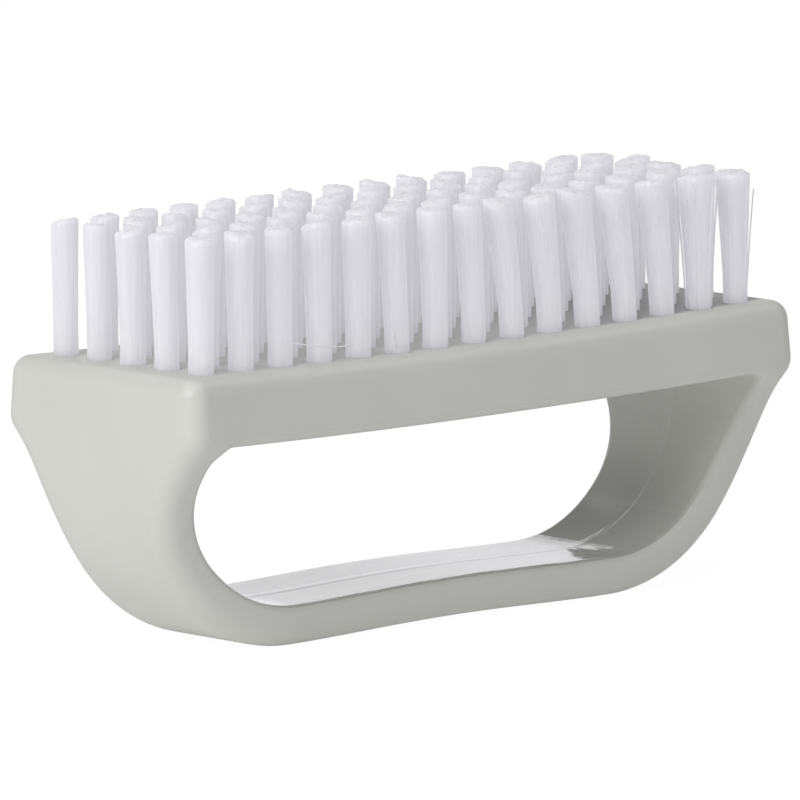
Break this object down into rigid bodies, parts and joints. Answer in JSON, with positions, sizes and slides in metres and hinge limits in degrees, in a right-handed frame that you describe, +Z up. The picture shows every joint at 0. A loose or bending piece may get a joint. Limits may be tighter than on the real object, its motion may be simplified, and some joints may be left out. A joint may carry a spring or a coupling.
{
  "type": "nail brush",
  "caption": "Nail brush with a rectangular block of short stiff bristle tufts above a closed finger loop that is held in the fist.",
  "frame": {"origin": "middle of the grip bar's flat underside", "axes": "+X along the brush, +Y across it, +Z up towards the bristle tips"},
  "size_m": [0.0958, 0.0342, 0.0497],
  "materials": {
    "moulding": "satin light grey moulded plastic",
    "bristle": "white nylon filaments",
    "anchor_wire": "plain flat wire"
  },
  "bodies": {
    "root": {"brush_body": "moulding", "tuft_row_01": "bristle", "tuft_row_02": "bristle", "tuft_row_03": "bristle", "tuft_row_04": "bristle", "tuft_row_05": "bristle", "tuft_row_06": "bristle", "tuft_row_07": "bristle", "tuft_row_08": "bristle", "tuft_row_09": "bristle", "tuft_row_10": "bristle", "tuft_row_11": "bristle", "tuft_row_12": "bristle", "tuft_row_13": "bristle", "tuft_row_14": "bristle", "tuft_row_15": "bristle", "anchor_row_01": "anchor_wire", "anchor_row_02": "anchor_wire", "anchor_row_03": "anchor_wire", "anchor_row_04": "anchor_wire", "anchor_row_05": "anchor_wire", "anchor_row_06": "anchor_wire", "anchor_row_07": "anchor_wire", "anchor_row_08": "anchor_wire", "anchor_row_09": "anchor_wire", "anchor_row_10": "anchor_wire", "anchor_row_11": "anchor_wire", "anchor_row_12": "anchor_wire", "anchor_row_13": "anchor_wire", "anchor_row_14": "anchor_wire", "anchor_row_15": "anchor_wire"}
  },
  "joints": []
}
